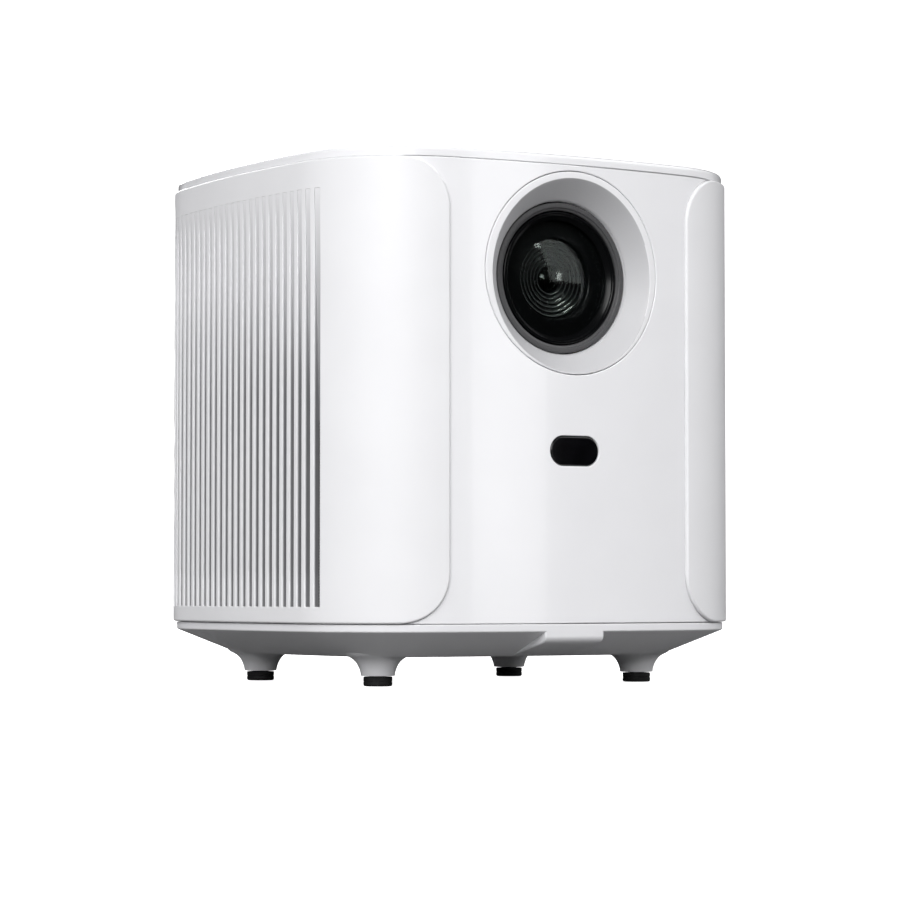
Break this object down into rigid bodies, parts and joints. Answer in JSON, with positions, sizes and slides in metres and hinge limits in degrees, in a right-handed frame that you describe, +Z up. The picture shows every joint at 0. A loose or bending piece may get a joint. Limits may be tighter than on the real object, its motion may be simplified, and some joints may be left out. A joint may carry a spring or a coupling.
{
  "type": "home projector",
  "caption": "Upright home projector: rounded square case on four feet, lens in a cone-shaped surround, slotted speaker sides, sockets and fan grille at the rear.",
  "frame": {"origin": "on the floor under the middle of the case", "axes": "+Z up; the lens looks along -Y; +X to the right seen from the front"},
  "size_m": [0.213, 0.204, 0.2204],
  "materials": {
    "gloss_white": "high gloss moulded, polished",
    "satin_white": "satin, very fine spark texture",
    "base_white": "satin, fine spark texture",
    "grey_ring": "fine turned satin",
    "black_plastic": "matte black",
    "window_black": "polished infrared-pass black",
    "rubber": "matte",
    "lens_glass": "coated optical glass",
    "clear_optics": "clear optical plastic and glass",
    "mirror": "front-silvered",
    "copper": "bare copper",
    "aluminium": "bare, stamped",
    "steel": "zinc plated",
    "brass": "turned",
    "board": "solder mask",
    "cone_black": "matte pulp",
    "cloth": "woven acoustic cloth"
  },
  "bodies": {
    "projector_case": {"base_pan": "base_white", "front_panel": "gloss_white", "top_cover": "gloss_white", "rear_panel": "satin_white", "left_side_panel": "satin_white", "right_side_panel": "satin_white", "lens_bezel": "satin_white", "sensor_window": "window_black", "lcd_panel": "window_black", "foot_pad_front_left": "rubber", "foot_pad_front_right": "rubber", "foot_pad_rear_left": "rubber", "foot_pad_rear_right": "rubber", "base_screw_front_left": "steel", "base_screw_front_right": "steel", "base_screw_rear_left": "steel", "base_screw_rear_right": "steel", "left_speaker_frame": "steel", "right_speaker_frame": "steel", "focus_motor": "steel", "hdmi_socket": "steel", "usb_socket": "steel", "corner_post_front_left": "black_plastic", "corner_post_front_right": "black_plastic", "corner_post_rear_left": "black_plastic", "corner_post_rear_right": "black_plastic", "left_speaker_box": "black_plastic", "right_speaker_box": "black_plastic", "engine_housing": "black_plastic", "exhaust_fan_frame": "black_plastic", "intake_fan_frame": "black_plastic", "power_inlet": "black_plastic", "audio_socket": "black_plastic", "left_acoustic_cloth": "cloth", "right_acoustic_cloth": "cloth", "left_heat_pipe": "copper", "right_heat_pipe": "copper", "heat_plate": "copper", "lens_housing": "grey_ring", "lower_fresnel": "clear_optics", "upper_fresnel": "clear_optics", "condenser_lens": "clear_optics", "fold_mirror": "mirror", "tripod_insert": "brass", "button_board": "board", "sensor_board": "board", "main_board": "board", "power_board": "board", "led_module": "aluminium", "fin_stack": "aluminium"},
    "focus_ring": {"focus_ring": "black_plastic"},
    "focus_cell": {"focus_cell": "black_plastic", "front_glass": "lens_glass", "rear_glass": "lens_glass"},
    "motor_pinion": {"motor_pinion": "brass"},
    "exhaust_fan_rotor": {"exhaust_fan_rotor": "black_plastic"},
    "intake_fan_rotor": {"intake_fan_rotor": "black_plastic"},
    "power_button": {"power_button": "satin_white"},
    "left_speaker_cone": {"left_speaker_cone": "cone_black"},
    "right_speaker_cone": {"right_speaker_cone": "cone_black"}
  },
  "joints": [
    {"name": "focus_ring_turn", "type": "hinge", "parent": "projector_case", "child": "focus_ring", "pos_m": [0, -0.067, 0.1698], "axis": [0, 1, 0], "range_deg": [-35, 35]},
    {"name": "focus_cell_slide", "type": "slide", "parent": "projector_case", "child": "focus_cell", "axis": [0, 1, 0], "range_m": [-0.0028, 0.0028]},
    {"name": "motor_pinion_spin", "type": "hinge", "parent": "projector_case", "child": "motor_pinion", "pos_m": [0.02987, -0.061, 0.13992], "axis": [0, 1, 0], "range_deg": [-210, 210]},
    {"name": "exhaust_fan_spin", "type": "hinge", "parent": "projector_case", "child": "exhaust_fan_rotor", "pos_m": [0, 0.0785, 0.146], "axis": [0, 1, 0], "continuous": true},
    {"name": "intake_fan_spin", "type": "hinge", "parent": "projector_case", "child": "intake_fan_rotor", "pos_m": [0, -0.046, 0.096], "axis": [0, 1, 0], "continuous": true},
    {"name": "power_button_press", "type": "slide", "parent": "projector_case", "child": "power_button", "axis": [0, 0, -1], "range_m": [0, 0.0008], "stiffness_N_per_m": 600, "springref_m": -0.0004},
    {"name": "left_speaker_cone_stroke", "type": "slide", "parent": "projector_case", "child": "left_speaker_cone", "axis": [1, 0, 0], "range_m": [-0.0012, 0.0012], "stiffness_N_per_m": 1500},
    {"name": "right_speaker_cone_stroke", "type": "slide", "parent": "projector_case", "child": "right_speaker_cone", "axis": [1, 0, 0], "range_m": [-0.0012, 0.0012], "stiffness_N_per_m": 1500}
  ],
  "couplings": [
    {"joint": "focus_ring_turn", "follows": "focus_cell_slide", "rad_per_m": 218.1},
    {"joint": "motor_pinion_spin", "follows": "focus_cell_slide", "rad_per_m": -1308.6}
  ]
}
